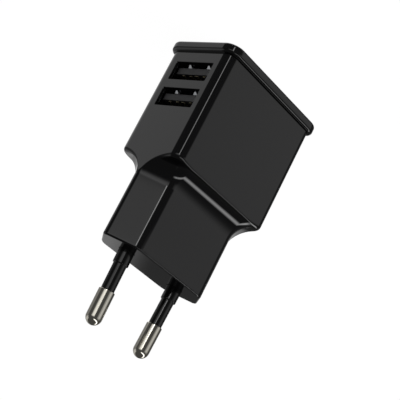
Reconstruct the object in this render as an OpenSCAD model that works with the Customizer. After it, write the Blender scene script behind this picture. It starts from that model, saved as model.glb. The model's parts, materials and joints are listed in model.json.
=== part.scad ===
// USB wall charger with two round mains pins and two stacked USB-A sockets.
// The charger stands on the flat back of its rear cap, pins pointing up (+Z).
// +X is the narrow face with the sockets, -Y is the front broad face.
// The origin is the middle of the rear cap's back.

/* [Body] */
// Width of the body across its two narrow faces
body_w = 35.3; // [30:0.1:45]
// Thickness of the body across its two broad faces
body_t = 20.8; // [18:0.1:28]
// Radius of the four upright corners of the body
body_r = 2.65; // [0.5:0.05:5]
// Wall thickness of the housing
wall = 1.6; // [1:0.1:3]
// Height where the broad faces start to curve in to the nose
shoulder_z = 30.65; // [25:0.05:40]
// Radius of the outward curve at the top of the shoulder
shoulder_out_r = 0.5; // [0.5:0.1:3]
// Radius of the inward curve that runs down to the nose
shoulder_in_r = 6.1; // [3:0.1:7]

/* [Rear cap] */
// Thickness of the cap plate
cap_h = 2.5; // [1.5:0.1:4]
// Overhang of the cap rim past the body, all round
cap_over = 1.1; // [0:0.1:3]
// Edge radius of the cap rim
cap_edge_r = 0.8; // [0.2:0.05:1.2]

/* [Nose] */
// Thickness of the nose, two-pin plug standard
nose_t = 13.7; // [12:0.1:14]
// Distance from the middle to the unrounded side edge of the nose
nose_apex = 18.05; // [16:0.05:22]
// Distance from the middle to the unrounded flat-to-facet corner
nose_corner = 11.95; // [8:0.05:15]
// Radius of the four flat-to-facet corners
nose_corner_r = 2.7; // [0.5:0.1:4]
// Radius of the two side edges of the nose
nose_apex_r = 1.35; // [0.5:0.05:3]
// Height of the plug face above the back of the cap
face_z = 52.8; // [45:0.1:65]
// Thickness of the plug face wall
face_wall = 2.5; // [1.5:0.1:5]
// Depth of the shallow ring sunk round each pin in the plug face
face_ring = 0.3; // [0.1:0.05:1]

/* [Mains pins] */
// Distance between the pin centres at the plug face
pin_pitch = 18.6; // [17:0.1:20]
// Lean of each pin toward the other, degrees
pin_lean = 1.65; // [0:0.05:3]
// Pin length outside the plug face
pin_len = 19; // [15:0.5:22]
// Diameter of the bare metal end of a pin
pin_d = 4; // [3.5:0.05:5]
// Diameter of the metal core under the sleeve
core_d = 2.5; // [1.5:0.1:3]
// Length of the insulated part outside the plug face
sleeve_len = 10.3; // [8:0.1:12]
// Diameter of the insulating sleeve
sleeve_d = 3.3; // [3:0.05:3.9]
// Length of the thicker sleeve root outside the plug face
root_len = 3.5; // [0:0.1:6]
// Diameter of the thicker sleeve root
root_d = 3.9; // [3.4:0.05:4.4]

/* [USB sockets] */
// Height of the lower socket's centre
socket_z = 8.0; // [7:0.05:14]
// Distance between the two socket centres
socket_pitch = 7.4; // [6.5:0.05:12]
// Long side of the window in the housing wall
window_l = 12.6; // [12:0.05:14]
// Short side of the window in the housing wall
window_h = 5.06; // [4.5:0.02:6]
// Thickness of the housing wall left in front of each shell
window_wall = 0.7; // [0.5:0.05:1.2]
// Long side of the steel shell, outside
shell_l = 12.9; // [12.7:0.05:14]
// Short side of the steel shell, outside
shell_h = 5.7; // [5:0.05:6.5]
// Sheet thickness of the shell
shell_s = 0.3; // [0.2:0.05:0.5]
// Depth of the shell behind the housing wall
shell_d = 14; // [10:0.5:18]
// Width of the contact tongue
tongue_w = 11.1; // [10:0.1:11.5]
// Thickness of the contact tongue
tongue_t = 1.7; // [1.5:0.02:2.2]
// Gap between the tongue and the shell on its plain side
tongue_gap = 1.25; // [0.6:0.05:1.4]

/* [Circuit board] */
// Board thickness
board_t = 1.2; // [0.8:0.1:1.6]
// Depth position of the board's component side
board_y = 6.5; // [5:0.1:7]
// Width of the board
board_w = 31.5; // [25:0.1:31.8]
// Height of the board's lower edge
board_z0 = 5.1; // [5:0.1:8]
// Height of the board's upper edge
board_z1 = 28.8; // [20:0.1:29]

/* [Power parts] */
// Diameter of a mains-side capacitor
bulk_d = 8; // [6:0.5:10]
// Length of a mains-side capacitor
bulk_l = 12; // [8:0.5:14]
// Diameter of an output capacitor
out_d = 6.3; // [5:0.1:8]
// Length of an output capacitor
out_l = 11; // [7:0.5:14]
// Width of the transformer core along the winding axis
core_w = 13.2; // [10:0.1:15]
// Height of the transformer core off the board
core_h = 12.6; // [10:0.1:13]
// Depth of the transformer core
core_t = 6; // [4:0.1:8]

/* [Hidden] */
$fn = 64;
eps = 0.02;
half_w = body_w / 2;
half_t = body_t / 2;
in_w = half_w - wall;
in_t = half_t - wall;
cav_z = 29;
face_in = face_z - face_wall;
half_n = nose_t / 2;

// Facet geometry: the unit normal of the facet in the +X +Y quarter and its distance from the axis
fac_len = norm([nose_apex - nose_corner, half_n]);
fac_nx = half_n / fac_len;
fac_ny = (nose_apex - nose_corner) / fac_len;
fac_a = atan2(fac_ny, fac_nx);
fac_d = nose_apex * fac_nx;
apex_c = (fac_d - nose_apex_r) / fac_nx;
cor_y = half_n - nose_corner_r;
cor_x = (fac_d - nose_corner_r - fac_ny * cor_y) / fac_nx;
dip = nose_corner_r - nose_apex_r;

// Shoulder: both arcs turn through the same angle and meet tangent to each other
sh_turn = acos(1 - (half_t - half_n) / (shoulder_out_r + shoulder_in_r));
sh_end = shoulder_z + (shoulder_out_r + shoulder_in_r) * sin(sh_turn);
low_z = sh_end - shoulder_out_r - shoulder_in_r - 0.3;

socket_y = board_y - shell_l / 2;
socket_top = socket_z + socket_pitch + shell_h / 2 + 0.75;
rib_t = 0.6;
rib_d = 0.75;
shell_x1 = half_w - window_wall - 0.02;
shell_x0 = shell_x1 - shell_d;
tongue_x1 = shell_x1 - 0.3;
tongue_z0 = -shell_h / 2 + shell_s + tongue_gap;
tongue_z1 = tongue_z0 + tongue_t;
con_y = [3.5, 1, -1, -3.5];
con_x = [4.9, 3.6, 2.3, 1];
tail_end = board_y + board_t + 0.5;
tab_x0 = 7;

tr_x = -8.6;
tr_y = -0.3;
tr_z = 10.4;
tr_pin_x = [-5.5, -2.9, 2.9, 5.5];
tr_pin_z = 4.2;

bulk_x = 4.25;
bulk_z0 = 31.5;
bulk_pitch = 1.75;
bulk_lead_z = 27.8;
out_x = [5.4, 12.1];
out_z = 22.9;
wire_x = 9.6;
wire_z = 27.9;
res_x = -13.6;
res_z = [16.5, 24.5];
choke_x = -9.9;
choke_z = 18.6;
ycap_x = -3.2;
ycap_z = 18.4;

// ---- shared shapes ----

// Upright rounded block centred on the axis
module rounded_block(hx, hy, r, z0, z1) {
    translate([0, 0, z0])
        linear_extrude(z1 - z0)
            union() {
                square([2 * hx, 2 * (hy - r)], center = true);
                square([2 * (hx - r), 2 * hy], center = true);
                for (sx = [-1, 1], sy = [-1, 1])
                    translate([sx * (hx - r), sy * (hy - r)])
                        circle(r);
            }
}

// Turns a flat profile (distance out, height) into a wall that runs along +X, facing -Y
module run(length) {
    rotate([90, 0, 90])
        linear_extrude(length)
            mirror([1, 0])
                children();
}

// Box given by its two opposite corners
module span(a, b) {
    translate(a)
        cube(b - a);
}

// Round bar from one height to another, standing on the board's normal (+Y)
module bar_y(x, z, r, y0, y1) {
    translate([x, y0, z])
        rotate([-90, 0, 0])
            cylinder(r = r, h = y1 - y0);
}

// A wire that comes down (-Z) at x, turns on a bend radius and goes on toward +Y
module bent_wire(x, r, z_top, z_run, bend, y_end) {
    translate([x, 0, z_run + bend])
        cylinder(r = r, h = z_top - z_run - bend);
    translate([x, bend, z_run + bend])
        rotate([0, -90, 0])
            rotate([0, 0, 180])
                rotate_extrude(angle = 90)
                    translate([bend, 0])
                        circle(r);
    bar_y(x, z_run, r, bend, y_end);
}

// ---- housing ----

// Nose outline, counterclockwise: each entry is x, y and the direction the surface faces there
facet_steps = [0, 0.05, 0.1, 0.15, 0.2, 0.26, 0.34, 0.45, 0.58, 0.72, 0.86];
facet_from = [cor_x + nose_corner_r * fac_nx, -cor_y - nose_corner_r * fac_ny];
facet_to = [apex_c + nose_apex_r * fac_nx, -nose_apex_r * fac_ny];
quarter = concat(
    [for (i = [0:9])
        let (a = -90 + (90 - fac_a) * i / 10)
            [cor_x + nose_corner_r * cos(a), -cor_y + nose_corner_r * sin(a), a]],
    [for (f = facet_steps)
        [facet_from[0] * (1 - f) + facet_to[0] * f, facet_from[1] * (1 - f) + facet_to[1] * f, -fac_a]],
    [for (i = [0:5])
        let (a = -fac_a * (1 - i / 5))
            [apex_c + nose_apex_r * cos(a), nose_apex_r * sin(a), a]]
);
q_last = len(quarter) - 1;
outline = concat(
    quarter,
    [for (i = [q_last - 1:-1:0]) [quarter[i][0], -quarter[i][1], -quarter[i][2]]],
    [for (i = [0:q_last]) [-quarter[i][0], -quarter[i][1], quarter[i][2] + 180]],
    [for (i = [q_last - 1:-1:0]) [-quarter[i][0], quarter[i][1], 180 - quarter[i][2]]]
);

// Distance from a nose outline point, straight out, to the side of the body
function reach(p) =
    let (
        x = abs(p[0]), y = abs(p[1]), nx = abs(cos(p[2])), ny = abs(sin(p[2])),
        tx = nx > 0.0001 ? (half_w - x) / nx : 1000,
        ty = ny > 0.0001 ? (half_t - y) / ny : 1000,
        t = min(tx, ty),
        ux = x - half_w + body_r, uy = y - half_t + body_r,
        b = ux * nx + uy * ny,
        in_corner = x + t * nx > half_w - body_r && y + t * ny > half_t - body_r
    )
    in_corner ? -b + sqrt(b * b - ux * ux - uy * uy + body_r * body_r) : t;

function outward(p, d, z) = [p[0] + d * cos(p[2]), p[1] + d * sin(p[2]), z];

// One ring of the shoulder: an outward curve off the body, then an inward curve down to the nose
out_steps = 4;
in_steps = 8;
function turn_of(h) = acos(1 - h / (shoulder_out_r + shoulder_in_r));
function out_z0(p) = sh_end - (shoulder_out_r + shoulder_in_r) * sin(turn_of(reach(p)));
function out_ring(j) = [
    for (p = outline)
        let (h = reach(p), a = turn_of(h) * j / out_steps)
            outward(p, h + 0.01 * (1 - j / out_steps) - shoulder_out_r * (1 - cos(a)),
                    out_z0(p) + shoulder_out_r * sin(a))
];
function in_ring(j) = [
    for (p = outline)
        let (h = reach(p), a = turn_of(h) * (1 - j / in_steps))
            outward(p, shoulder_in_r * (1 - cos(a)), sh_end - shoulder_in_r * sin(a))
];

// Solid through a stack of rings that all have the same number of points
module ring_stack(rings) {
    n = len(rings[0]);
    m = len(rings);
    polyhedron(
        points = [for (r = rings, p = r) p],
        faces = concat(
            [[for (i = [0:n - 1]) i]],
            [[for (i = [n - 1:-1:0]) (m - 1) * n + i]],
            [for (j = [0:m - 2], i = [0:n - 1])
                [j * n + i, (j + 1) * n + i, j * n + (i + 1) % n]],
            [for (j = [0:m - 2], i = [0:n - 1])
                [j * n + (i + 1) % n, (j + 1) * n + i, (j + 1) * n + (i + 1) % n]]
        )
    );
}

// Nose with its flared shoulder; below the shoulder it is wider than the body all round
module nose_and_shoulder() {
    ring_stack(concat(
        [[for (p = outline) outward(p, reach(p) + 1.5, cap_h - 1)]],
        [[for (p = outline) outward(p, reach(p) + 1.5, low_z - 1)]],
        [[for (p = outline) outward(p, reach(p) + 0.12, out_z0(p) - 0.9)]],
        [for (j = [0:out_steps]) out_ring(j)],
        [for (j = [1:in_steps]) in_ring(j)],
        [[for (p = outline) outward(p, 0, face_z + 1)]]
    ));
}

// Outside shape of the housing, solid
module housing_outside() {
    intersection() {
        rounded_block(half_w, half_t, body_r, cap_h, face_z);
        nose_and_shoulder();
    }
}

// Six-sided outline of the nose, moved in by a wall
module nose_inside(w, z0, z1) {
    yi = half_n - w;
    xi = (fac_d - w - fac_ny * yi) / fac_nx;
    ai = (fac_d - w) / fac_nx;
    translate([0, 0, z0])
        linear_extrude(z1 - z0)
            polygon([[ai, 0], [xi, yi], [-xi, yi], [-ai, 0], [-xi, -yi], [xi, -yi]]);
}

// Puts its children on a pin axis: side +1 or -1, local z from the plug face outward
module on_pin(side) {
    translate([side * pin_pitch / 2, 0, face_z])
        rotate([0, -side * pin_lean, 0])
            children();
}

module main_housing() {
    color([0.03, 0.03, 0.032])
        difference() {
            union() {
                difference() {
                    housing_outside();
                    rounded_block(in_w, in_t, 0.75, cap_h - 1, cav_z);
                    nose_inside(wall, cav_z - 0.5, face_in);
                }
                // slots that hold the board's two edges
                for (y = [board_y - rib_t - 0.1, board_y + board_t + 0.1]) {
                    span([-in_w - 0.3, y, board_z0], [-in_w + rib_d, y + rib_t, cav_z]);
                    span([in_w - rib_d, y, socket_top + 0.5], [in_w + 0.3, y + rib_t, cav_z]);
                }
            }
            // socket windows
            for (k = [0, 1])
                translate([in_w - 1, socket_y, socket_z + k * socket_pitch]) {
                    rotate([90, 0, 90])
                        linear_extrude(wall + 2)
                            union() {
                                square([window_l - 0.4, window_h], center = true);
                                square([window_l, window_h - 0.4], center = true);
                                for (sy = [-1, 1], sz = [-1, 1])
                                    translate([sy * (window_l / 2 - 0.2), sz * (window_h / 2 - 0.2)])
                                        circle(0.2);
                            }
                    // pocket behind the window that the shell's mouth sits in
                    span([0, -shell_l / 2 - 0.1, -shell_h / 2 - 0.1],
                         [1 + wall - window_wall, shell_l / 2 + 0.1, shell_h / 2 + 0.1]);
                }
            // holes for the pins and their sleeves
            for (side = [-1, 1])
                on_pin(side) {
                    translate([0, 0, -face_wall - 1])
                        cylinder(d = root_d + 0.04, h = face_wall + 2);
                    translate([0, 0, -face_ring])
                        cylinder(d = root_d + 0.5, h = face_ring + 1);
                }
            // grooves that the cap's snap ridges sit in
            for (s = [-1, 1])
                translate([-6.5, s * (in_t - 0.1), cap_h + 1.2])
                    rotate([0, 90, 0])
                        cylinder(r = 0.42, h = 13);
        }
}

// ---- rear cap ----

module cap_profile(r) {
    difference() {
        square([r, cap_h]);
        difference() {
            translate([r - cap_edge_r, -1])
                square([cap_edge_r + 1, cap_edge_r + 1]);
            translate([r - cap_edge_r, cap_edge_r])
                circle(cap_edge_r);
        }
        difference() {
            translate([r - cap_edge_r, cap_h - cap_edge_r])
                square([cap_edge_r + 1, cap_edge_r + 1]);
            translate([r - cap_edge_r, cap_h - cap_edge_r])
                circle(cap_edge_r);
        }
    }
}

module rear_cap() {
    r = body_r + cap_over;
    cx = half_w - body_r;
    cy = half_t - body_r;
    color([0.03, 0.03, 0.032])
        union() {
            span([-cx, -cy, 0], [cx, cy, cap_h]);
            for (sx = [-1, 1], sy = [-1, 1])
                translate([sx * cx, sy * cy, 0])
                    rotate_extrude()
                        cap_profile(r);
            for (s = [0, 180])
                rotate([0, 0, s]) {
                    translate([-cx, -cy, 0])
                        run(2 * cx)
                            cap_profile(r);
                    rotate([0, 0, 90])
                        translate([-cy, -cx, 0])
                            run(2 * cy)
                                cap_profile(r);
                }
            // skirt inside the housing, with one snap ridge on each broad side
            difference() {
                rounded_block(in_w - 0.12, in_t - 0.12, 0.65, cap_h - 0.5, cap_h + 2.4);
                rounded_block(in_w - 1.3, in_t - 1.3, 0.5, cap_h - 1, cap_h + 3);
            }
            for (s = [-1, 1])
                translate([-6, s * (in_t - 0.15), cap_h + 1.2])
                    rotate([0, 90, 0])
                        cylinder(r = 0.32, h = 12);
        }
}

// ---- mains pins ----

module pin(side) {
    on_pin(side)
        difference() {
            union() {
                translate([0, 0, -7.2])
                    cylinder(d = core_d, h = sleeve_len + 7.2 + eps);
                translate([0, 0, sleeve_len])
                    cylinder(d = pin_d, h = pin_len - sleeve_len - pin_d / 2);
                translate([0, 0, pin_len - pin_d / 2])
                    sphere(d = pin_d);
                translate([0, 0, -face_wall - 1.2])
                    cylinder(r = 2.4, h = 1.2);
                translate([0, 0, -9.2])
                    cylinder(r = 0.85, h = 2.2);
            }
            translate([0, 0, -10])
                cylinder(r = 0.5, h = 2.3);
        }
}

module pin_a() {
    color([0.78, 0.76, 0.72])
        pin(1);
}

module pin_b() {
    color([0.78, 0.76, 0.72])
        pin(-1);
}

module pin_sleeve(side) {
    on_pin(side)
        difference() {
            union() {
                translate([0, 0, -face_wall])
                    cylinder(d = root_d, h = face_wall + root_len);
                translate([0, 0, root_len - 1])
                    cylinder(d = sleeve_d, h = sleeve_len - root_len + 1);
            }
            translate([0, 0, -face_wall - 1])
                cylinder(d = core_d + 0.02, h = sleeve_len + face_wall + 2);
        }
}

module pin_sleeve_a() {
    color([0.05, 0.05, 0.05])
        pin_sleeve(1);
}

module pin_sleeve_b() {
    color([0.05, 0.05, 0.05])
        pin_sleeve(-1);
}

// Plate pressed into the nose behind the pin collars
module pin_retainer() {
    color([0.12, 0.12, 0.12])
        difference() {
            nose_inside(wall + 0.08, 46.1, face_in - 1.35);
            for (side = [-1, 1])
                on_pin(side)
                    translate([0, 0, -9])
                        cylinder(d = core_d + 0.2, h = 8);
            translate([0, 0, 40])
                cylinder(r = 3, h = 15);
        }
}

module input_wires() {
    color([0.75, 0.1, 0.08])
        for (side = [-1, 1])
            difference() {
                bent_wire(side * wire_x, 0.75, 43.2, wire_z, 1.6, 5.6);
                bent_wire(side * wire_x, 0.36, 43.3, wire_z, 1.6, 5.7);
            }
}

module wire_strands() {
    color([0.8, 0.5, 0.3])
        for (side = [-1, 1])
            bent_wire(side * wire_x, 0.35, 44.4, wire_z, 1.6, tail_end);
}

// ---- circuit board ----

module board_hole(x, z, r) {
    bar_y(x, z, r, board_y - 1, board_y + board_t + 1);
}

module circuit_board() {
    color([0.1, 0.35, 0.16])
        difference() {
            span([-board_w / 2, board_y, board_z0], [board_w / 2, board_y + board_t, board_z1]);
            for (k = [0, 1]) {
                z = socket_z + k * socket_pitch;
                for (i = [0:3])
                    board_hole(shell_x0 + con_x[i], z + tongue_z1 - 0.08, 0.42);
                for (lx = [2.2, 10.2], s = [-1, 1])
                    span([shell_x0 + lx - 0.15, board_y - 1, z + s * (shell_h / 2 - shell_s / 2) - 0.3],
                         [shell_x0 + lx + 1.65, board_y + 3, z + s * (shell_h / 2 - shell_s / 2) + 0.3]);
            }
            for (px = tr_pin_x, s = [-1, 1])
                board_hole(tr_x + px, tr_z + s * tr_pin_z, 0.4);
            for (s = [-1, 1], p = [-1, 1])
                board_hole(s * bulk_x + p * bulk_pitch, bulk_lead_z, 0.4);
            for (x = out_x, p = [-1, 1])
                board_hole(x + p * 1.25, out_z, 0.4);
            for (s = [-1, 1])
                board_hole(s * wire_x, wire_z, 0.45);
            for (z = res_z)
                board_hole(res_x, z, 0.4);
            for (p = [-1, 1])
                board_hole(ycap_x + p * 2.5, ycap_z, 0.4);
            for (p = [-1, 1])
                board_hole(choke_x + p * 1.5, choke_z, 0.4);
        }
}

// ---- USB sockets: each stands on its narrow edge on the board and opens toward +X ----

module at_socket(k) {
    translate([shell_x0, socket_y, socket_z + k * socket_pitch])
        children();
}

// Sprung tab cut out of a long shell wall, bent inward and back out at a steep lip that narrows to a tip
module shell_tab(s, y) {
    translate([0, y, 0])
        intersection() {
            translate([0, 0.85, 0])
                rotate([90, 0, 0])
                    linear_extrude(1.7)
                        polygon([
                            [tab_x0 - 0.1, s * shell_h / 2], [12.4, s * (shell_h / 2 - 0.46)],
                            [12.8, s * (shell_h / 2 - 0.02)], [13.1, s * (shell_h / 2 - 0.14)],
                            [12.65, s * (shell_h / 2 - 0.82)], [tab_x0 - 0.1, s * (shell_h / 2 - shell_s)]
                        ]);
            translate([0, 0, -shell_h])
                linear_extrude(2 * shell_h)
                    polygon([
                        [tab_x0 - 1, -1], [12.35, -1], [12.6, -0.72], [13.2, -0.1],
                        [13.2, 0.1], [12.6, 0.72], [12.35, 1], [tab_x0 - 1, 1]
                    ]);
        }
}

module usb_shell(k) {
    hl = shell_l / 2;
    hh = shell_h / 2;
    at_socket(k) {
        difference() {
            span([0, -hl, -hh], [shell_d, hl, hh]);
            span([shell_s, -hl + shell_s, -hh + shell_s], [shell_d + 1, hl - shell_s, hh - shell_s]);
            span([shell_s, hl - 1, -2], [5.7, hl + 1, 2]);
            for (s = [-1, 1], y = [-3.22, 3.22])
                span([tab_x0, y - 1.1, s * hh - 0.5], [tab_x0 + 6.4, y + 1.1, s * hh + 0.5]);
        }
        for (s = [-1, 1], y = [-3.22, 3.22])
            shell_tab(s, y);
        for (lx = [2.2, 10.2], s = [-1, 1])
            translate([lx, hl - 0.1, s * (hh - shell_s / 2) - shell_s / 2])
                cube([1.5, tail_end - board_y + 0.1, shell_s]);
    }
}

module usb_shell_1() {
    color([0.72, 0.73, 0.75])
        usb_shell(0);
}

module usb_shell_2() {
    color([0.72, 0.73, 0.75])
        usb_shell(1);
}

// One contact: a strip along the tongue with a raised wiping spot and a tail to the board
module usb_contact(i, g) {
    translate([0, con_y[i] + 0.5 + g, tongue_z1])
        rotate([90, 0, 0])
            linear_extrude(1 + 2 * g)
                polygon([
                    [con_x[i] - 0.3 - g, -0.2 - g], [tongue_x1 - shell_x0 - 0.6 + g, -0.2 - g],
                    [tongue_x1 - shell_x0 - 0.6 + g, 0.06 + g], [tongue_x1 - shell_x0 - 1.3, 0.06 + g],
                    [tongue_x1 - shell_x0 - 1.7, 0.32 + g], [tongue_x1 - shell_x0 - 2.3, 0.32 + g],
                    [tongue_x1 - shell_x0 - 2.8, 0.06 + g], [con_x[i] - 0.3 - g, 0.06 + g]
                ]);
    span([con_x[i] - 0.3 - g, con_y[i], tongue_z1 - 0.2 - g],
         [con_x[i] + 0.3 + g, tail_end - socket_y, tongue_z1 + 0.06 + g]);
}

module usb_contacts(k) {
    at_socket(k)
        for (i = [0:3])
            usb_contact(i, 0);
}

module usb_contacts_1() {
    color([0.85, 0.68, 0.3])
        usb_contacts(0);
}

module usb_contacts_2() {
    color([0.85, 0.68, 0.3])
        usb_contacts(1);
}

module usb_insulator(k) {
    hl = shell_l / 2 - shell_s - 0.05;
    hh = shell_h / 2 - shell_s - 0.05;
    at_socket(k)
        difference() {
            union() {
                span([shell_s + 0.05, -hl, -hh], [5.9, hl, hh]);
                span([shell_s + 0.1, hl - 0.2, -1.9], [5.6, board_y - socket_y, 1.9]);
                span([5.8, -tongue_w / 2, tongue_z0], [tongue_x1 - shell_x0, tongue_w / 2, tongue_z1]);
            }
            for (i = [0:3])
                usb_contact(i, 0.03);
        }
}

module usb_insulator_1() {
    color([0.35, 0.35, 0.36])
        usb_insulator(0);
}

module usb_insulator_2() {
    color([0.35, 0.35, 0.36])
        usb_insulator(1);
}

// ---- transformer, winding axis along X ----

module at_transformer() {
    translate([tr_x, tr_y, tr_z])
        children();
}

module transformer_core() {
    hw = core_w / 2;
    hh = core_h / 2;
    ht = core_t / 2;
    color([0.18, 0.18, 0.19])
        at_transformer()
            for (s = [0, 180])
                rotate([0, s, 0])
                    difference() {
                        span([0.02, -hh, -ht], [hw, hh, ht]);
                        for (m = [-1, 1])
                            span([-1, m * 3.2 - 1.3, -ht - 1], [hw - 2.2, m * 3.2 + 1.3, ht + 1]);
                        span([-1, -1.9, -ht - 1], [0.1, 1.9, ht + 1]);
                    }
}

module transformer_bobbin() {
    color([0.13, 0.13, 0.13])
        at_transformer()
            difference() {
                union() {
                    span([-4.3, -2.8, -3.9], [4.3, 2.8, 3.9]);
                    for (s = [-1, 1])
                        span([s * 3.9 - 0.4, -4.4, -5], [s * 3.9 + 0.4, 4.4, 5]);
                    for (s = [-1, 1], m = [-1, 1])
                        span([s * 4.2 - 2, 4.2, m * 4.15 - 0.85], [s * 4.2 + 2, board_y - tr_y, m * 4.15 + 0.85]);
                }
                span([-5, -1.95, -3.05], [5, 1.95, 3.05]);
                for (px = tr_pin_x, m = [-1, 1])
                    bar_y(px, m * tr_pin_z, 0.31, 5, 8);
            }
}

// Rounded sleeve of wound material between two cross-sections, along X
module wound(hy0, hz0, hy1, hz1, hx) {
    translate([-hx, 0, 0])
        rotate([90, 0, 90])
            linear_extrude(2 * hx)
                difference() {
                    union() {
                        square([2 * hy1 - 1.6, 2 * hz1], center = true);
                        square([2 * hy1, 2 * hz1 - 1.6], center = true);
                        for (a = [-1, 1], b = [-1, 1])
                            translate([a * (hy1 - 0.8), b * (hz1 - 0.8)])
                                circle(0.8);
                    }
                    square([2 * hy0, 2 * hz0], center = true);
                }
}

module transformer_winding() {
    color([0.72, 0.4, 0.16])
        at_transformer()
            wound(2.82, 3.92, 3.8, 4.55, 3.45);
}

module transformer_tape() {
    color([0.9, 0.75, 0.2])
        at_transformer()
            translate([-3.4, 0, 0])
                rotate([90, 0, 90])
                    linear_extrude(6.8)
                        difference() {
                            union() {
                                square([2 * 4.1 - 1.6, 2 * 4.85], center = true);
                                square([2 * 4.1, 2 * 4.85 - 1.6], center = true);
                                for (a = [-1, 1], b = [-1, 1])
                                    translate([a * 3.3, b * 4.05])
                                        circle(0.8);
                            }
                            square([2 * 3.82 - 1.6, 2 * 4.57], center = true);
                            square([2 * 3.82, 2 * 4.57 - 1.6], center = true);
                            for (a = [-1, 1], b = [-1, 1])
                                translate([a * 3.02, b * 3.77])
                                    circle(0.8);
                        }
}

module transformer_pins() {
    color([0.75, 0.75, 0.74])
        at_transformer()
            for (px = tr_pin_x, m = [-1, 1])
                bar_y(px, m * tr_pin_z, 0.3, 5.1, tail_end - tr_y);
}

// ---- capacitors ----

// Parts of a capacitor that stands on its seal, coaxial about local z
module can_shell(d, l) {
    difference() {
        cylinder(d = d - 0.3, h = l);
        translate([0, 0, -1])
            cylinder(d = d - 1.1, h = 3);
    }
}

module can_sleeve(d, l) {
    difference() {
        translate([0, 0, 0.1])
            cylinder(d = d, h = l + 0.05);
        translate([0, 0, -1])
            cylinder(d = d - 0.28, h = l + 1.01);
        translate([0, 0, l - 1])
            cylinder(d = d - 1.6, h = 3);
    }
}

module can_seal(d, pitch) {
    difference() {
        cylinder(d = d - 1.12, h = 1.95);
        for (p = [-1, 1])
            translate([p * pitch, 0, -1])
                cylinder(r = 0.31, h = 4);
    }
}

module at_bulk() {
    for (s = [-1, 1])
        translate([s * bulk_x, 0, bulk_z0])
            children();
}

module bulk_capacitor_cans() {
    color([0.75, 0.76, 0.77])
        at_bulk()
            can_shell(bulk_d, bulk_l);
}

module bulk_capacitor_sleeves() {
    color([0.1, 0.1, 0.14])
        at_bulk()
            can_sleeve(bulk_d, bulk_l);
}

module bulk_capacitor_seals() {
    color([0.2, 0.19, 0.18])
        at_bulk()
            can_seal(bulk_d, bulk_pitch);
}

module bulk_capacitor_leads() {
    color([0.75, 0.75, 0.74])
        for (s = [-1, 1], p = [-1, 1])
            bent_wire(s * bulk_x + p * bulk_pitch, 0.3, bulk_z0 + 1.9, bulk_lead_z, 1.2, tail_end);
}

module at_output() {
    for (x = out_x)
        translate([x, board_y - 0.1, out_z])
            rotate([90, 0, 0])
                children();
}

module output_capacitor_cans() {
    color([0.75, 0.76, 0.77])
        at_output()
            can_shell(out_d, out_l);
}

module output_capacitor_sleeves() {
    color([0.08, 0.25, 0.3])
        at_output()
            can_sleeve(out_d, out_l);
}

module output_capacitor_seals() {
    color([0.2, 0.19, 0.18])
        at_output()
            can_seal(out_d, 1.25);
}

module output_capacitor_leads() {
    color([0.75, 0.75, 0.74])
        for (x = out_x, p = [-1, 1])
            bar_y(x + p * 1.25, out_z, 0.3, board_y - 2, tail_end);
}

// ---- flat packages on the board's component side ----

module bridge_rectifier() {
    color([0.07, 0.07, 0.07])
        span([-11.7, board_y - 1.6, 22.3], [-7.1, board_y - 0.15, 25.9]);
}

module controller_chip() {
    color([0.07, 0.07, 0.07])
        span([-6.05, board_y - 1.65, 21.65], [-1.15, board_y - 0.2, 25.55]);
}

module output_diode() {
    color([0.07, 0.07, 0.07])
        span([-1.4, board_y - 2.2, 10], [1.3, board_y - 0.15, 14.3]);
}

// Bent lead: foot flat on the board, riser against the package side at z, pointing out along s
module gull_lead(x, z, s, w) {
    translate([x - w / 2, board_y, z])
        rotate([90, 0, 90])
            linear_extrude(w)
                polygon([
                    [0, s * 0.45], [0, s * 1.05], [-0.2, s * 1.05], [-0.2, s * 0.6],
                    [-0.9, s * 0.3], [-0.9, 0], [-0.7, 0], [-0.7, s * 0.15]
                ]);
}

module package_leads() {
    color([0.75, 0.75, 0.74]) {
        for (x = [-10.8, -8], s = [-1, 1])
            gull_lead(x, s > 0 ? 25.9 : 22.3, s, 0.6);
        for (i = [0:3], s = [-1, 1])
            gull_lead(-5.5 + i * 1.27, s > 0 ? 25.55 : 21.65, s, 0.42);
        for (s = [-1, 1])
            gull_lead(-0.05, s > 0 ? 14.3 : 10, s, 1.4);
    }
}

// ---- small parts with wire leads ----

module fuse_resistor() {
    color([0.35, 0.5, 0.35])
        translate([res_x, board_y - 1.75, 17.6])
            difference() {
                cylinder(r = 1.6, h = 5.8);
                for (z = [-1, 5.3])
                    translate([0, 0, z])
                        cylinder(r = 0.31, h = 1.5);
            }
}

// Two wires that leave along the axis, turn and pass through the board
module fuse_resistor_leads() {
    y = board_y - 1.75;
    color([0.75, 0.75, 0.74])
        for (s = [0, 1])
            translate([res_x, y, (res_z[0] + res_z[1]) / 2])
                mirror([0, 0, s]) {
                    translate([0, 0, 2.45])
                        cylinder(r = 0.3, h = 1.05);
                    translate([0, 0.5, 3.5])
                        rotate([0, -90, 0])
                            rotate_extrude(angle = -90)
                                translate([0, 0])
                                    intersection() {
                                        translate([0.5, 0])
                                            circle(0.3);
                                        square([2, 2], center = true);
                                    }
                    bar_y(0, 4, 0.3, 0.5, tail_end - y);
                }
}

module y_capacitor() {
    color([0.15, 0.35, 0.65])
        difference() {
            translate([ycap_x, 1.5, ycap_z - 1.5])
                cylinder(r = 3.6, h = 3);
            for (p = [-1, 1])
                bar_y(ycap_x + p * 2.5, ycap_z, 0.31, 2.9, 8);
        }
}

module y_capacitor_leads() {
    color([0.75, 0.75, 0.74])
        for (p = [-1, 1])
            bar_y(ycap_x + p * 2.5, ycap_z, 0.3, 3, tail_end);
}

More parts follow.
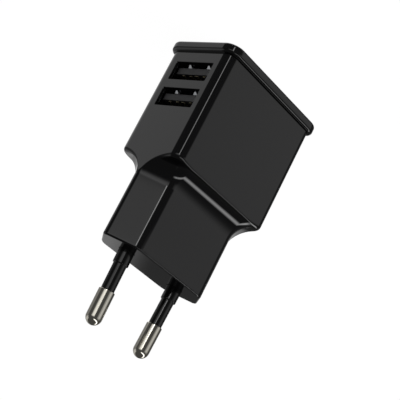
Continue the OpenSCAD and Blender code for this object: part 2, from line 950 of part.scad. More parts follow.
module choke_core() {
    color([0.2, 0.2, 0.21])
        difference() {
            union() {
                bar_y(choke_x, choke_z, 2.5, board_y - 1.1, board_y - 0.1);
                bar_y(choke_x, choke_z, 1.1, board_y - 6.5, board_y - 1);
                bar_y(choke_x, choke_z, 2.5, board_y - 7.1, board_y - 6.1);
            }
            for (p = [-1, 1])
                bar_y(choke_x + p * 1.5, choke_z, 0.31, board_y - 0.9, board_y);
        }
}

module choke_winding() {
    color([0.72, 0.4, 0.16])
        difference() {
            bar_y(choke_x, choke_z, 2.2, board_y - 6.05, board_y - 1.15);
            bar_y(choke_x, choke_z, 1.12, board_y - 7, board_y);
        }
}

module choke_leads() {
    color([0.75, 0.75, 0.74])
        for (p = [-1, 1])
            bar_y(choke_x + p * 1.5, choke_z, 0.3, board_y - 0.85, tail_end);
}

module chip_parts() {
    spots = [
        [-14.2, 26.6], [-12.2, 27.2], [0.9, 21.2], [0.9, 23.4], [0.9, 25.6],
        [-5.9, 19.6], [0, 6.4], [0, 7.9], [0.2, 16.2]
    ];
    color([0.6, 0.55, 0.45])
        for (p = spots)
            span([p[0] - 0.9, board_y - 0.6, p[1] - 0.5], [p[0] + 0.9, board_y, p[1] + 0.5]);
}

// Cone of solder round a lead on the board's back
module solder(x, z, r) {
    difference() {
        translate([x, board_y + board_t, z])
            rotate([-90, 0, 0])
                cylinder(r1 = 0.72, r2 = 0.42, h = 0.42);
        bar_y(x, z, r, board_y, board_y + 3);
    }
}

module solder_joints() {
    color([0.7, 0.7, 0.7]) {
        for (k = [0, 1], i = [0:3])
            solder(shell_x0 + con_x[i], socket_z + k * socket_pitch + tongue_z1 - 0.07, 0.345);
        for (px = tr_pin_x, s = [-1, 1])
            solder(tr_x + px, tr_z + s * tr_pin_z, 0.31);
        for (s = [-1, 1], p = [-1, 1])
            solder(s * bulk_x + p * bulk_pitch, bulk_lead_z, 0.31);
        for (x = out_x, p = [-1, 1])
            solder(x + p * 1.25, out_z, 0.31);
        for (s = [-1, 1])
            solder(s * wire_x, wire_z, 0.36);
        for (z = res_z)
            solder(res_x, z, 0.31);
        for (p = [-1, 1])
            solder(ycap_x + p * 2.5, ycap_z, 0.31);
        for (p = [-1, 1])
            solder(choke_x + p * 1.5, choke_z, 0.31);
    }
}

// Insulating sheet between the solder side and the housing's back wall
module insulation_sheet() {
    color([0.85, 0.83, 0.75])
        span([-15.1, tail_end + 0.12, 5.3], [15.1, tail_end + 0.37, 28.6]);
}

main_housing();
rear_cap();
pin_a();
pin_b();
pin_sleeve_a();
pin_sleeve_b();
pin_retainer();
input_wires();
wire_strands();
circuit_board();
usb_shell_1();
usb_shell_2();
usb_insulator_1();
usb_insulator_2();
usb_contacts_1();
usb_contacts_2();
transformer_core();
transformer_bobbin();
transformer_winding();
transformer_tape();
transformer_pins();
bulk_capacitor_cans();
bulk_capacitor_sleeves();
bulk_capacitor_seals();
bulk_capacitor_leads();
output_capacitor_cans();
output_capacitor_sleeves();
output_capacitor_seals();
output_capacitor_leads();
bridge_rectifier();
controller_chip();
output_diode();
package_leads();
fuse_resistor();
fuse_resistor_leads();
y_capacitor();
y_capacitor_leads();
choke_core();
choke_winding();
choke_leads();
chip_parts();
solder_joints();
insulation_sheet();
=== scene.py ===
import json
import math

import bmesh
import bpy
import numpy as np
from mathutils import Matrix, Vector


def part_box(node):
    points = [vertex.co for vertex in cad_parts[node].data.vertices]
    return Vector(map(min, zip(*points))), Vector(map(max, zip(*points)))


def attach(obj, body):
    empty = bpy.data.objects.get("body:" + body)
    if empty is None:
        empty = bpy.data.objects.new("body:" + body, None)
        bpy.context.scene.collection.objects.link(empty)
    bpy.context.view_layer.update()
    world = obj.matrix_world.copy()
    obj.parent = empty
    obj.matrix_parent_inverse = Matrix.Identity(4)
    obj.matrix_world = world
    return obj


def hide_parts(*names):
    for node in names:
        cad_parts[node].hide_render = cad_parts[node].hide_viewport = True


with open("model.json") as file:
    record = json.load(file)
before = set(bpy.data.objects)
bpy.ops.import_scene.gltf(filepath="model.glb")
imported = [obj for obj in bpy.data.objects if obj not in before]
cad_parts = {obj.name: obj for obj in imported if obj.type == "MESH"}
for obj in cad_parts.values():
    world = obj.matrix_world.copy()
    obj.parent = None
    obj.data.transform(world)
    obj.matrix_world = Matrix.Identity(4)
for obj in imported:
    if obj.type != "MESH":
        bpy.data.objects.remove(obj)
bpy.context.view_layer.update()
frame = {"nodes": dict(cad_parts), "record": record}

MM = 0.001
scene = bpy.context.scene
nodes = frame["nodes"]


# ---- helpers ----

def linear(hex_colour):
    """sRGB hex such as #1a2b3c to linear RGBA: the standard curve, with a straight foot and a 2.4 power."""
    h = hex_colour.lstrip("#")
    c = [int(h[i:i + 2], 16) / 255 for i in (0, 2, 4)]
    return [v / 12.92 if v <= 0.04045 else ((v + 0.055) / 1.055) ** 2.4 for v in c] + [1.0]


def add(tree, kind, settings=None, links=None):
    """Adds one shader node; settings whose name is a socket go to that socket, the rest are attributes."""
    node = tree.nodes.new(kind)
    for name, value in (settings or {}).items():
        if isinstance(name, int) or name in node.inputs:
            node.inputs[name].default_value = value
        else:
            setattr(node, name, value)
    for name, source in (links or {}).items():
        tree.links.new(source, node.inputs[name])
    return node


def new_material(name):
    """An empty node material with its output, and the object coordinates its patterns read."""
    material = bpy.data.materials.new(name)
    material.use_nodes = True
    tree = material.node_tree
    tree.nodes.clear()
    out = add(tree, "ShaderNodeOutputMaterial")
    coords = add(tree, "ShaderNodeTexCoord")
    return material, tree, out, coords.outputs["Object"]


def per_mm(size):
    """Noise scale whose patches are about this many millimetres across."""
    return 1.0 / (size * MM)


# ---- materials ----

def gloss_black_abs(name, colour, rough_low, rough_high):
    """Black plastic moulded against a polished steel tool: near-mirror skin over a pigment that
    returns almost no light, with a faint, wide unevenness of the gloss."""
    material, tree, out, at = new_material(name)
    cloud = add(tree, "ShaderNodeTexNoise", {"Scale": per_mm(9), "Detail": 3.0}, {"Vector": at})
    rough = add(tree, "ShaderNodeMapRange",
                {"From Min": 0.3, "From Max": 0.7, "To Min": rough_low, "To Max": rough_high},
                {"Value": cloud.outputs["Fac"]})
    sink = add(tree, "ShaderNodeTexNoise", {"Scale": per_mm(14), "Detail": 1.0}, {"Vector": at})
    bump = add(tree, "ShaderNodeBump", {"Strength": 0.02, "Distance": 0.2 * MM},
               {"Height": sink.outputs["Fac"]})
    skin = add(tree, "ShaderNodeBsdfPrincipled", {"Base Color": linear(colour), "IOR": 1.52},
               {"Roughness": rough.outputs["Result"], "Normal": bump.outputs["Normal"]})
    tree.links.new(skin.outputs["BSDF"], out.inputs["Surface"])
    return material


def nickel_plate(name):
    """Bright nickel plated on turned brass: warm grey mirror with faint turning marks round the pin. The
    marks are drawn wider apart than real ones, which are too fine to show."""
    mark_gap = 0.6283
    # a wave texture turns through 20 radians for each unit of its scaled coordinate
    scale = 2 * math.pi / (20 * mark_gap * MM)
    material, tree, out, at = new_material(name)
    marks = add(tree, "ShaderNodeTexWave",
                {"Scale": scale, "Distortion": 1.0, "Detail": 1.0, "bands_direction": "Z"}, {"Vector": at})
    rough = add(tree, "ShaderNodeMapRange", {"To Min": 0.10, "To Max": 0.13}, {"Value": marks.outputs["Fac"]})
    skin = add(tree, "ShaderNodeBsdfPrincipled", {"Base Color": linear("#d9d5c9"), "Metallic": 1.0},
               {"Roughness": rough.outputs["Result"]})
    tree.links.new(skin.outputs["BSDF"], out.inputs["Surface"])
    return material


def stainless_sheet(name):
    """Folded stainless sheet, cold rolled: soft bright grey with a fine rolled grain."""
    material, tree, out, at = new_material(name)
    grain = add(tree, "ShaderNodeTexNoise", {"Scale": per_mm(0.4), "Detail": 2.0}, {"Vector": at})
    rough = add(tree, "ShaderNodeMapRange",
                {"From Min": 0.3, "From Max": 0.7, "To Min": 0.14, "To Max": 0.22},
                {"Value": grain.outputs["Fac"]})
    skin = add(tree, "ShaderNodeBsdfPrincipled", {"Base Color": linear("#a6a8ab"), "Metallic": 1.0},
               {"Roughness": rough.outputs["Result"]})
    tree.links.new(skin.outputs["BSDF"], out.inputs["Surface"])
    return material


def mottled(tree, at, patch, detail, dark, light):
    """A colour that wanders between two close ones, in patches about this many millimetres across."""
    noise = add(tree, "ShaderNodeTexNoise", {"Scale": per_mm(patch), "Detail": detail}, {"Vector": at})
    tint = add(tree, "ShaderNodeValToRGB", {}, {"Fac": noise.outputs["Fac"]})
    for stop, place, colour in zip(tint.color_ramp.elements, (0.35, 0.65), (dark, light)):
        stop.position = place
        stop.color = linear(colour)
    return tint.outputs["Color"]


def dull_moulding(name, dark, light, rough):
    """Moulded plastic, board or paper: an even, slightly mottled skin."""
    material, tree, out, at = new_material(name)
    skin = add(tree, "ShaderNodeBsdfPrincipled", {"Roughness": rough, "IOR": 1.5},
               {"Base Color": mottled(tree, at, 0.6, 3.0, dark, light)})
    tree.links.new(skin.outputs["BSDF"], out.inputs["Surface"])
    return material


def bright_metal(name, dark, light, rough):
    """Small bare, plated or enamelled metal part: an even metal with a slight mottle."""
    material, tree, out, at = new_material(name)
    skin = add(tree, "ShaderNodeBsdfPrincipled", {"Roughness": rough, "Metallic": 1.0},
               {"Base Color": mottled(tree, at, 0.5, 2.0, dark, light)})
    tree.links.new(skin.outputs["BSDF"], out.inputs["Surface"])
    return material


finishes = {
    "gloss_black_plastic": gloss_black_abs("moulded_gloss_black_abs", "#0a0a0b", 0.03, 0.06),
    "black_sleeve_plastic": gloss_black_abs("moulded_black_nylon_sleeve", "#0b0b0b", 0.08, 0.14),
    "nickel_plated_brass": nickel_plate("nickel_plated_turned_brass"),
    "stainless_shell": stainless_sheet("cold_rolled_stainless_sheet"),
    "grey_connector_plastic": dull_moulding("moulded_grey_lcp", "#252526", "#2c2c2d", 0.5),
    "gold_contact": bright_metal("gold_flashed_bronze", "#d8cca8", "#e2d8ba", 0.3),
    "dark_plastic": dull_moulding("moulded_dark_nylon", "#202021", "#29292a", 0.5),
    "red_wire_cover": dull_moulding("extruded_red_pvc", "#a81a14", "#b3231c", 0.4),
    "tinned_copper": bright_metal("tinned_copper_wire", "#b9b8b4", "#c6c5c1", 0.3),
    "green_board": dull_moulding("solder_masked_glass_epoxy", "#13582c", "#186634", 0.35),
    "ferrite": dull_moulding("sintered_ferrite", "#2d2d2f", "#38383a", 0.6),
    "copper_winding": bright_metal("enamelled_copper_wire", "#a8552a", "#b96535", 0.35),
    "yellow_tape": dull_moulding("polyester_tape", "#c9a21f", "#d6b02b", 0.35),
    "capacitor_aluminium": bright_metal("drawn_aluminium", "#c3c5c7", "#cfd0d2", 0.3),
    "capacitor_sleeve_dark": dull_moulding("dark_shrink_sleeve", "#15161c", "#1b1c24", 0.3),
    "capacitor_sleeve_teal": dull_moulding("teal_shrink_sleeve", "#0f3a45", "#14444f", 0.3),
    "rubber_seal": dull_moulding("moulded_butyl_rubber", "#232221", "#2b2a29", 0.7),
    "package_black": dull_moulding("moulded_epoxy_package", "#131313", "#1a1a1a", 0.5),
    "resistor_coating": dull_moulding("flameproof_coating", "#4c6e50", "#577a5b", 0.55),
    "blue_ceramic_coating": dull_moulding("dipped_epoxy_coating", "#1f4b92", "#27569f", 0.3),
    "chip_ceramic": dull_moulding("fired_alumina", "#8b8170", "#978c7a", 0.5),
    "solder": bright_metal("tin_solder", "#a9aaac", "#b7b8ba", 0.25),
    "insulating_paper": dull_moulding("vulcanised_fish_paper", "#d3cbb4", "#ddd6c0", 0.8),
}
slot_of = {s["node"]: s["material_slot"] for s in frame["record"]["subparts"]}
for name, piece in nodes.items():
    piece.data.materials.clear()
    piece.data.materials.append(finishes[slot_of[name]])

# ---- shapes: every size in millimetres, read off the CAD boxes where the frame gives it ----

def corners_mm(node):
    """Lowest and highest corner of a CAD node, in millimetres."""
    low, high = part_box(node)
    return np.array(low) / MM, np.array(high) / MM


housing_low, housing_high = corners_mm("main_housing")
cap_high = corners_mm("rear_cap")[1]
half_w, half_t = housing_high[0], housing_high[1]
cap_h, face_z = housing_low[2], housing_high[2]
rim = cap_high[0] - half_w
body_r = 2.65
wall = 1.6
cavity_top = 29.0
# nose: half its thickness, where its facets would meet, where they would leave the broad side, and its radii
nose_y = 6.85
apex_x = 18.05
corner_x = 11.95
corner_r = 2.7
apex_r = 1.35
# shoulder: where it leaves the broad sides, the outward radius on the broad and the narrow sides, the inward
# radius, and how far along the outline its fan starts to turn before the nose's corner
shoulder_z = 30.65
out_r = 0.5
side_out_r = 1.2
in_r = 6.1
fan_ease = 3.0
# plug face
face_edge = 0.45
face_wall = 2.5
# pins and sleeves, from the plug face up
pin_pitch = 18.6
pin_lean = math.radians(1.65)
pin_len = 19.0
pin_r = 2.0
core_r = 1.25
sleeve_len = 10.3
sleeve_r = 1.65
root_len = 3.5
root_r = 1.95
# socket windows, and the pockets behind them that leave a thin wall
window_l = 12.6
window_h = 5.06
pocket_l = 13.1
pocket_h = 5.9
window_wall = 0.7
socket_y = 0.05
socket_z = (8.0, 15.4)
# how far a row or column of points stands beside the end of an arc, which keeps the shading of the straight
# stretch next to it flat
beside = 0.12
wide_beside = 0.15
# how far a cutter runs past the surface that it cuts
past = 1.0

# facet of the nose: the direction it faces, and its distance from the axis
facet_out = np.array([nose_y, corner_x - apex_x])
facet_out = facet_out / np.hypot(*facet_out)
facet_angle = math.atan2(facet_out[1], facet_out[0])
facet_d = apex_x * facet_out[0]
apex_c = (facet_d - apex_r) / facet_out[0]
corner_y = -(nose_y - corner_r)
corner_c = (facet_d - corner_r - facet_out[1] * corner_y) / facet_out[0]

# slack arc between the same two ends as that corner's, a little short of tangent at both
slack_from, slack_to = math.radians(-86), math.radians(-44)
slack_chord = np.array([corner_c, corner_y]) + corner_r * facet_out - [corner_c, -nose_y]
slack_r = np.hypot(*slack_chord) / (2 * math.sin((slack_to - slack_from) / 2))
slack_c = np.array([corner_c, -nose_y]) - slack_r * np.array([math.cos(slack_from), math.sin(slack_from)])


def nose_outline(s):
    """x, y and facing angle, s mm along a quarter of the nose outline from the middle of the broad side: a
    straight, a slack arc, the straight facet, then an arc about (apex_c, 0). Also the lengths where those
    end, and the direction in which the shoulder fans out, which turns by a smooth step over more of the
    outline than the facing angle does."""
    a_start = np.array([corner_c, corner_y]) + corner_r * facet_out
    a_end = np.array([apex_c, 0.0]) + apex_r * facet_out
    facet_l = np.hypot(*(a_end - a_start))
    ends = np.cumsum([corner_c, slack_r * (slack_to - slack_from), facet_l, -apex_r * facet_angle])
    a1 = slack_from + (s - ends[0]) / slack_r
    f = (s - ends[1]) / facet_l
    a2 = facet_angle + (s - ends[2]) / apex_r
    which = [s < ends[0], s < ends[1], s < ends[2]]
    facet_x, facet_y = (a_start[i] + (a_end[i] - a_start[i]) * f for i in (0, 1))
    x = np.select(which, [s, slack_c[0] + slack_r * np.cos(a1), facet_x], apex_c + apex_r * np.cos(a2))
    y = np.select(which, [0 * s - nose_y, slack_c[1] + slack_r * np.sin(a1), facet_y], apex_r * np.sin(a2))
    angle = np.select(which, [0 * s - math.pi / 2, a1, 0 * s + facet_angle], a2)
    f = np.clip((s - ends[0] + fan_ease) / (ends[1] - ends[0] + 2 * fan_ease), 0, 1)
    fan = np.where(s < ends[2], (facet_angle + math.pi / 2) * f * f * (3 - 2 * f) - math.pi / 2, a2)
    return x, y, angle, ends, fan


def reach(x, y, angle):
    """Distance from a nose outline point, in the given direction, to the rounded rectangle of the body: the
    nearer of the two flat sides, or where that lands in a corner, the far root of the ray and circle
    equation."""
    x, y = np.abs(x), np.abs(y)
    nx, ny = np.abs(np.cos(angle)), np.abs(np.sin(angle))
    t = np.minimum((half_w - x) / np.maximum(nx, 1e-4), (half_t - y) / np.maximum(ny, 1e-4))
    ux, uy = x - half_w + body_r, y - half_t + body_r
    b = ux * nx + uy * ny
    root = -b + np.sqrt(np.maximum(b * b - ux * ux - uy * uy + body_r ** 2, 0))
    in_corner = (x + t * nx > half_w - body_r) & (y + t * ny > half_t - body_r)
    return np.where(in_corner, root, t)


def housing_columns():
    """Stations along a quarter outline: even steps on the nose, plus those whose fan direction meets the
    body's corner at even angles, found by interpolating along a dense sampling. Of two stations that all but
    coincide, one is dropped."""
    least_gap = 0.012
    dense = np.linspace(0, nose_outline(np.zeros(1))[3][-1], 6000)
    x, y, _, ends, fan = nose_outline(dense)
    d = reach(x, y, fan)
    bx, by = x + d * np.cos(fan), y + d * np.sin(fan)
    turn = np.arctan2(np.maximum(bx - half_w + body_r, 0), np.maximum(-by - half_t + body_r, 0))
    along = np.minimum(bx, half_w - body_r) + body_r * turn + np.clip(by + half_t - body_r, 0, None)
    near = half_w - body_r
    far = near + body_r * math.pi / 2
    wanted = np.concatenate([[near - wide_beside], np.linspace(near, far, 33), [far + wide_beside]])
    s = np.concatenate([
        np.linspace(0, ends[0] - beside, 9), np.linspace(ends[0], ends[1], 25), [ends[1] + beside],
        np.linspace(ends[1] + 5 * beside, ends[2] - beside, 9), np.linspace(ends[2], ends[3], 13),
        np.interp(wanted, along, dense)])
    s = np.sort(s)
    return s[np.concatenate([[True], np.diff(s) > least_gap])]


def all_round(x, y, angle):
    """A quarter outline, from the middle of the -Y side to +X, mirrored and turned into the whole ring."""
    quarter = np.stack([x, y, angle], 1)
    back_half = quarter[::-1][1:] * [1, -1, -1]
    half = np.concatenate([quarter, back_half])[:-1]
    turned = half * [-1, -1, 1] + [0, 0, math.pi]
    return np.concatenate([half, turned]).T


def skin(name, rings, tube=False):
    """Closed skin through rings shaped (rows, columns, 3), in mm: quads between rows and a flat face at each
    end, or for a tube quads from the last row back to the first. Rings run counterclockwise and the rows go
    outward, up and inward, so the faces point outward."""
    rows, cols = rings.shape[:2]
    k = np.arange(rows * cols).reshape(rows, cols)
    a, b = (k, np.roll(k, -1, 0)) if tube else (k[:-1], k[1:])
    quads = np.stack([a, np.roll(a, -1, 1), np.roll(b, -1, 1), b], -1).reshape(-1, 4)
    mesh = bpy.data.meshes.new(name)
    ends = [] if tube else [k[0][::-1].tolist(), k[-1].tolist()]
    mesh.from_pydata((rings.reshape(-1, 3) * MM).tolist(), [], quads.tolist() + ends)
    obj = bpy.data.objects.new(name, mesh)
    scene.collection.objects.link(obj)
    return obj


def rounded_ring(hx, hy, r, steps=16):
    """Rounded rectangle, counterclockwise from the -Y side's middle: four arcs with a point just off each end
    of an arc, that keeps the shading of the straight sides flat."""
    off = 0.1
    a = np.linspace(-math.pi / 2, 0, steps + 1)
    x = np.concatenate([[0, hx - r - off], hx - r + r * np.cos(a), [hx, hx]])
    y = np.concatenate([[-hy, -hy], -(hy - r) + r * np.sin(a), [-(hy - r) + off, 0]])
    ring = all_round(x, y, 0 * x)
    return ring[0], ring[1]


def finish(obj, finish_name, node, crease=35):
    """Smooth shading except across edges sharper than the crease; the piece stands for the CAD node."""
    mesh = obj.data
    mesh.polygons.foreach_set("use_smooth", np.ones(len(mesh.polygons), bool))
    mesh.set_sharp_from_angle(angle=math.radians(crease))
    mesh.materials.clear()
    mesh.materials.append(finishes[finish_name])
    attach(obj, "root")
    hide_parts(node)


def cut(obj, cutters):
    """Takes the cutters' volumes out of a piece, in the mesh itself."""
    for cutter in cutters:
        step = obj.modifiers.new("cut", "BOOLEAN")
        step.operation = "DIFFERENCE"
        step.solver = "EXACT"
        step.object = cutter
    graph = bpy.context.evaluated_depsgraph_get()
    result = bpy.data.meshes.new_from_object(obj.evaluated_get(graph))
    obj.modifiers.clear()
    obj.data = result
    for cutter in cutters:
        bpy.data.objects.remove(cutter)


# ---- housing ----

def housing_rings():
    """Straight up the body, an outward arc off it, an inward arc down to the nose, straight up the nose and
    round the edge of the plug face. Both shoulder arcs turn through acos(1 - reach / (out_r + in_r)), and
    the outward one takes more of that sum toward the narrow sides, by a smooth step of the fan direction."""
    x, y, angle, ends, fan = nose_outline(housing_columns())
    fan = all_round(x, y, fan)[2]
    x, y, angle = all_round(x, y, angle)
    out = reach(x, y, fan)
    turn = np.arccos(1 - out / (out_r + in_r))
    f = np.clip(np.arctan2(np.abs(np.cos(fan)), np.abs(np.sin(fan))) / (facet_angle + math.pi / 2), 0, 1)
    r_out = out_r + (side_out_r - out_r) * f * f * (3 - 2 * f)
    r_in = out_r + in_r - r_out
    full_turn = math.acos(1 - (half_t - nose_y) / (out_r + in_r))
    end = shoulder_z + (out_r + in_r) * math.sin(full_turn)
    start = end - (out_r + in_r) * np.sin(turn)
    rows = [(out, cap_h + (start - wide_beside - cap_h) * f) for f in (0, 0.5, 1)]
    for f in np.linspace(0, 1, 15):
        rows.append((out - r_out * (1 - np.cos(turn * f)), start + r_out * np.sin(turn * f)))
    for f in np.linspace(1, 0, 31)[1:]:
        rows.append((r_in * (1 - np.cos(turn * f)), end - r_in * np.sin(turn * f)))
    for z in (end + wide_beside, (end + face_z) / 2, face_z - face_edge - beside):
        rows.append((0 * x, 0 * x + z))
    for a in np.linspace(0, math.pi / 2, 7):
        rows.append((0 * x - face_edge * (1 - math.cos(a)),
                     0 * x + face_z - face_edge + face_edge * math.sin(a)))
    rows.append((0 * x - face_edge - beside, 0 * x + face_z))
    stack = []
    for d, z in rows:
        way = np.where(d > 0, fan, angle)
        stack.append(np.stack([x + d * np.cos(way), y + d * np.sin(way), z], 1))
    return np.stack(stack)


def block_rings(ring, z_values):
    """The same ring at each height: a straight-sided block."""
    x, y = ring
    return np.stack([np.stack([x, y, 0 * x + z], 1) for z in z_values])


def nose_hollow(z0, z1):
    """Six-sided hollow of the nose, a wall inside its outline."""
    yi = nose_y - wall
    xi = (facet_d - wall + facet_out[1] * yi) / facet_out[0]
    ai = (facet_d - wall) / facet_out[0]
    x = np.array([-xi, xi, ai, xi, -xi, -ai])
    y = np.array([-yi, -yi, 0, yi, yi, 0])
    return block_rings((x, y), (z0, z1))


def window_rings(k, hy, hz, r, x_values, flare):
    """Rounded rectangle that opens along X, widened by the flare at each x."""
    rows = []
    for x, f in zip(x_values, flare):
        y, z = rounded_ring(hy + f, hz + f, r + f, 4)
        rows.append(np.stack([0 * y + x, y + socket_y, z + socket_z[k]], 1))
    return np.stack(rows)


def lathe(profile, side, steps=72):
    """Turns a profile (radius, height) about a pin's axis: side +1 or -1, height 0 at the plug face. The axis
    leans toward the other pin, so points turn about Y and then move out to the pin's place."""
    a = np.linspace(0, 2 * math.pi, steps, endpoint=False)
    r, h = np.array(profile).T
    x = r[:, None] * np.cos(a)
    y = r[:, None] * np.sin(a)
    z = h[:, None] + 0 * a
    lean = -side * pin_lean
    return np.stack([side * pin_pitch / 2 + x * math.cos(lean) + z * math.sin(lean), y,
                     face_z - x * math.sin(lean) + z * math.cos(lean)], -1)


def pin_hole_profile():
    """Hole a hair wider than the sleeve's root, with a mouth that flares over its last stretch."""
    hole_r, mouth_r, mouth_depth = root_r + 0.02, root_r + 0.15, 0.3
    return [(hole_r, -face_wall - past), (hole_r, -mouth_depth), (mouth_r, 0.02), (mouth_r, past)]


housing = skin("housing_shell", housing_rings())
inside = half_w - wall - past
lip, over, overlap = 0.08, 0.05, 0.5
cavity_r, window_r, pocket_r = 0.75, 0.25, 0.15
tools = [
    skin("tool_body", block_rings(rounded_ring(half_w - wall, half_t - wall, cavity_r, 6),
                                  (cap_h - past, cavity_top))),
    skin("tool_nose", nose_hollow(cavity_top - overlap, face_z - face_wall)),
]
for k in (0, 1):
    # the window, whose outer edge is eased by a lip, then the pocket
    tools.append(skin("tool_window", window_rings(
        k, window_l / 2, window_h / 2, window_r, (inside, half_w - lip, half_w + over), (0, 0, lip + over))))
    tools.append(skin("tool_pocket", window_rings(
        k, pocket_l / 2, pocket_h / 2, pocket_r, (inside, half_w - window_wall), (0, 0))))
for side in (-1, 1):
    tools.append(skin("tool_pin_hole", lathe(pin_hole_profile(), side)))
cut(housing, tools)
finish(housing, "gloss_black_plastic", "main_housing")

# ---- cap, pins and sleeves ----

def cap_rings():
    """Rounded rectangles that grow out across the back, round the rim, come in under the body and step up
    and down the skirt: each row is the inset from the rim and a height."""
    edge, ease, middle = 0.8, 0.1, 8.0
    skirt_gap, skirt_wall, skirt_top = 0.12, 1.2, cap_h + 2.4
    quarter = np.linspace(0, math.pi / 2, 13)
    rows = [(middle, 0), (edge + ease, 0)]
    rows += [(edge * (1 - math.sin(a)), edge * (1 - math.cos(a))) for a in quarter]
    rows += [(edge * (1 - math.cos(a)), cap_h - edge + edge * math.sin(a)) for a in quarter]
    outer = rim + wall + skirt_gap
    inner = outer + skirt_wall
    rows += [(edge + ease, cap_h), (outer, cap_h), (outer, skirt_top - ease), (outer + ease, skirt_top),
             (inner - ease, skirt_top), (inner, skirt_top - ease), (inner, cap_h), (middle, cap_h)]
    stack = []
    for inset, z in rows:
        x, y = rounded_ring(half_w + rim - inset, half_t + rim - inset, max(body_r + rim - inset, 0.5))
        stack.append(np.stack([x, y, 0 * x + z], 1))
    return np.stack(stack)


finish(skin("rear_cover", cap_rings()), "gloss_black_plastic", "rear_cap")


def arc(cx, cz, r, a0, a1, steps):
    """Arc of a profile: centre, radius and two angles in degrees, 0 outward and 90 up."""
    return [(cx + r * math.cos(a), cz + r * math.sin(a)) for a in np.radians(np.linspace(a0, a1, steps))]


def pin_profile():
    """Thin tail for the wire, core with a collar, then past the sleeve the full-size end with an eased
    shoulder and a half-round tip."""
    tail_r, tail_low, tail_high = 0.85, -9.2, -7.1
    collar_r, collar_low, collar_high = 2.4, -3.7, -2.5
    edge = 0.12
    return ([(0.01, tail_low), (tail_r, tail_low), (tail_r, tail_high), (core_r, tail_high),
             (core_r, collar_low), (collar_r, collar_low), (collar_r, collar_high), (core_r, collar_high),
             (core_r, sleeve_len - 0.02), (pin_r - 0.25, sleeve_len)]
            + arc(pin_r - edge, sleeve_len + edge, edge, -90, 0, 5)
            + [(pin_r, sleeve_len + 0.3), (pin_r, pin_len - pin_r - wide_beside)]
            + arc(0, pin_len - pin_r, pin_r, 0, 89.7, 32))


def sleeve_profile():
    """Thick root in the face wall and a little outside it, an eased step, then the slim sleeve."""
    inner = core_r + 0.01
    edge, nook, end_edge = 0.15, 0.06, 0.08
    return ([(inner, -face_wall), (root_r, -face_wall), (root_r, root_len - 2 * edge)]
            + arc(root_r - edge, root_len - edge, edge, 0, 90, 5)
            + arc(sleeve_r + nook, root_len + nook, nook, -90, -180, 4)
            + [(sleeve_r, root_len + 0.2), (sleeve_r, sleeve_len - 0.2)]
            + arc(sleeve_r - end_edge, sleeve_len - 0.02 - end_edge, end_edge, 0, 90, 4)
            + [(inner, sleeve_len - 0.02)])


for side, letter in ((1, "a"), (-1, "b")):
    finish(skin("mains_pin_" + letter, lathe(pin_profile(), side)), "nickel_plated_brass", "pin_" + letter)
    finish(skin("insulating_sleeve_" + letter, lathe(sleeve_profile(), side), tube=True),
           "black_sleeve_plastic", "pin_sleeve_" + letter)

# ---- sockets ----

def eased(node, name, finish_name, width):
    """Merged copy of a CAD node with its sharp edges rounded over at most a width in mm; stands for the node.
    It is held back wherever it would overlap itself, so the contacts take all of it, the tongues under half
    and the shells next to none."""
    mesh = bpy.data.meshes.new(name)
    work = bmesh.new()
    work.from_mesh(nodes[node].data)
    same_point, same_plane = 0.0005 * MM, math.radians(1)
    bmesh.ops.remove_doubles(work, verts=work.verts, dist=same_point)
    bmesh.ops.dissolve_limit(work, angle_limit=same_plane, verts=work.verts, edges=work.edges)
    work.to_mesh(mesh)
    work.free()
    obj = bpy.data.objects.new(name, mesh)
    scene.collection.objects.link(obj)
    finish(obj, finish_name, node)
    rounding = obj.modifiers.new("rounding", "BEVEL")
    rounding.width = width * MM
    rounding.segments = 2
    rounding.limit_method = "ANGLE"
    rounding.angle_limit = math.radians(35)
    rounding.harden_normals = True


for k in ("1", "2"):
    eased("usb_shell_" + k, "folded_shell_" + k, "stainless_shell", 0.08)
    eased("usb_insulator_" + k, "socket_tongue_" + k, "grey_connector_plastic", 0.12)
    eased("usb_contacts_" + k, "socket_contacts_" + k, "gold_contact", 0.06)

# ---- floor, light and camera ----

def floor_disc(radius, z):
    """A flat disc, in metres: points at (radius cos a, radius sin a, z) for even angles a, one face."""
    sides = 64
    a = np.linspace(0, 2 * np.pi, sides, endpoint=False)
    verts = np.stack([radius * np.cos(a), radius * np.sin(a), np.full(sides, z)], 1)
    mesh = bpy.data.meshes.new("pale_floor")
    mesh.from_pydata(verts.tolist(), [], [list(range(sides))])
    obj = bpy.data.objects.new("pale_floor", mesh)
    scene.collection.objects.link(obj)
    return obj


floor = floor_disc(4.0, -0.02 * MM)
paper, tree, out, at = new_material("pale_sweep_paper")
fibre = add(tree, "ShaderNodeTexNoise", {"Scale": per_mm(40), "Detail": 2.0}, {"Vector": at})
tone = add(tree, "ShaderNodeMapRange", {"To Min": 0.96, "To Max": 1.0}, {"Value": fibre.outputs["Fac"]})
glow = add(tree, "ShaderNodeEmission", {"Color": linear("#ffffff")}, {"Strength": tone.outputs["Result"]})
matt = add(tree, "ShaderNodeBsdfDiffuse", {"Color": [0.12, 0.12, 0.12, 1]})
both = add(tree, "ShaderNodeAddShader", {}, {0: glow.outputs[0], 1: matt.outputs[0]})
tree.links.new(both.outputs[0], out.inputs["Surface"])
floor.data.materials.append(paper)
floor.visible_glossy = False

# A light tent: soft panels on a dim surround. Each panel is a range of directions with soft borders, given in
# degrees: round from -Y toward +X (0 to 360), and up from level. The camera itself sees plain pale paper.
world = bpy.data.worlds.new("light_tent")
scene.world = world
world.use_nodes = True
tree = world.node_tree
tree.nodes.clear()
ray = add(tree, "ShaderNodeTexCoord")
xyz = add(tree, "ShaderNodeSeparateXYZ", {}, {0: ray.outputs["Generated"]})


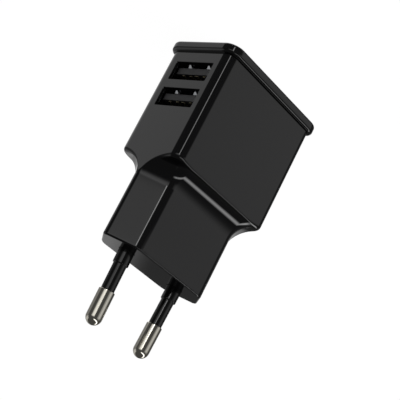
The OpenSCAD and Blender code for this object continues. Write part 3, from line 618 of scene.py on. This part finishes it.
def panel(round_low, round_high, up_low, up_high, strength, soft_round=(4, 4), soft_up=(4, 4)):
    """Strength inside a range of directions: four smooth borders, one after another, multiplied together."""
    borders = [(ring, round_low, soft_round[0], 0.0, strength), (ring, round_high, soft_round[1], 1.0, 0.0),
               (rise, up_low, soft_up[0], 0.0, 1.0), (rise, up_high, soft_up[1], 1.0, 0.0)]
    level = None
    for value, edge, soft, below, above in borders:
        step = add(tree, "ShaderNodeMapRange",
                   {"interpolation_type": "SMOOTHSTEP", "From Min": edge - soft, "From Max": edge + soft,
                    "To Min": below, "To Max": above}, {"Value": value.outputs[0]})
        if level is None:
            level = step
        else:
            level = add(tree, "ShaderNodeMath", {"operation": "MULTIPLY"},
                        {0: level.outputs[0], 1: step.outputs[0]})
    return level


toward_front = add(tree, "ShaderNodeMath", {"operation": "MULTIPLY", 1: -1.0}, {0: xyz.outputs[1]})
around = add(tree, "ShaderNodeMath", {"operation": "ARCTAN2"},
             {0: xyz.outputs[0], 1: toward_front.outputs[0]})
degrees = add(tree, "ShaderNodeMath", {"operation": "DEGREES"}, {0: around.outputs[0]})
turned = add(tree, "ShaderNodeMath", {"operation": "ADD", 1: 360.0}, {0: degrees.outputs[0]})
ring = add(tree, "ShaderNodeMath", {"operation": "MODULO", 1: 360.0}, {0: turned.outputs[0]})
steep = add(tree, "ShaderNodeMath", {"operation": "ARCSINE"}, {0: xyz.outputs[2]})
rise = add(tree, "ShaderNodeMath", {"operation": "DEGREES"}, {0: steep.outputs[0]})
panels = [
    # wash on the front broad face, fading upward
    panel(304, 334, -95, -2, 0.34, (9, 9), (4, 20)),
    panel(304, 334, -95, 12, 0.14, (9, 9), (4, 22)),
    panel(326, 354, -13.5, 8, 0.36, (12, 12), (1.5, 10)),
    # box that lights the nose facet and the pins
    panel(41, 74, -16.6, 2, 0.78, (1.5, 12), (0.4, 16)),
    panel(41, 84, -13.0, 4, 0.35, (1.5, 8), (0.6, 6)),
    # slim strips for the upright corner and the nose crease
    panel(44.5, 51.5, -34, -16.8, 3.6, (1.2, 1.2), (2, 0.3)),
    panel(45.5, 53.6, -16.8, -12.6, 5.0, (1, 0.5), (0.3, 0.3)),
    # wash on the socket face, and two softer steps above it
    panel(136.5, 215, -95, -13.5, 0.64, (1.5, 16), (4, 1.5)),
    panel(130, 205, -13.5, 44, 0.16, (8, 10), (1.5, 4)),
    panel(125, 190, 14, 42, 0.36, (6, 10), (5, 4)),
    # low fill from behind and the far side
    panel(200, 250, -95, 6, 0.3, (16, 14), (4, 6)),
    panel(200, 219.6, 4, 24, 0.42, (6, 1.4), (4, 6)),
    # long bank overhead whose reflection runs along the shoulder
    panel(255, 359.5, 34.0, 41.3, 3.7, (12, 0.5), (3.4, 3.0)),
    panel(0.5, 26, 34.0, 41.3, 3.7, (0.5, 16), (3.4, 3.0)),
]
surround = 0.07
total = add(tree, "ShaderNodeMath", {"operation": "ADD", 1: surround}, {0: panels[0].outputs[0]})
for light in panels[1:]:
    total = add(tree, "ShaderNodeMath", {"operation": "ADD"}, {0: total.outputs[0], 1: light.outputs[0]})
path = add(tree, "ShaderNodeLightPath")
seen = add(tree, "ShaderNodeBackground", {"Color": linear("#ffffff"), "Strength": 1.0})
lit = add(tree, "ShaderNodeBackground", {"Color": linear("#ffffff")}, {"Strength": total.outputs[0]})
mix = add(tree, "ShaderNodeMixShader", {},
          {0: path.outputs["Is Camera Ray"], 1: lit.outputs[0], 2: seen.outputs[0]})
add(tree, "ShaderNodeOutputWorld", {}, {"Surface": mix.outputs[0]})

camera_data = bpy.data.cameras.new("camera")
camera = bpy.data.objects.new("camera", camera_data)
scene.collection.objects.link(camera)
scene.camera = camera
camera_data.sensor_width = 36.0
camera_data.lens = 109.674
camera_data.clip_start = 0.005
camera_data.clip_end = 20.0
# the camera's own axes, and its place in millimetres
right = Vector((-0.57908, -0.68837, -0.43682))
up = Vector((0.51025, 0.11187, -0.85272))
back = Vector((0.63586, -0.71668, 0.28646))
turn = Matrix((right, up, back)).transposed().to_4x4()
camera.matrix_world = Matrix.Translation(Vector((184.614, -212.195, 116.008)) * MM) @ turn

scene.view_settings.view_transform = "Standard"
scene.view_settings.look = "None"
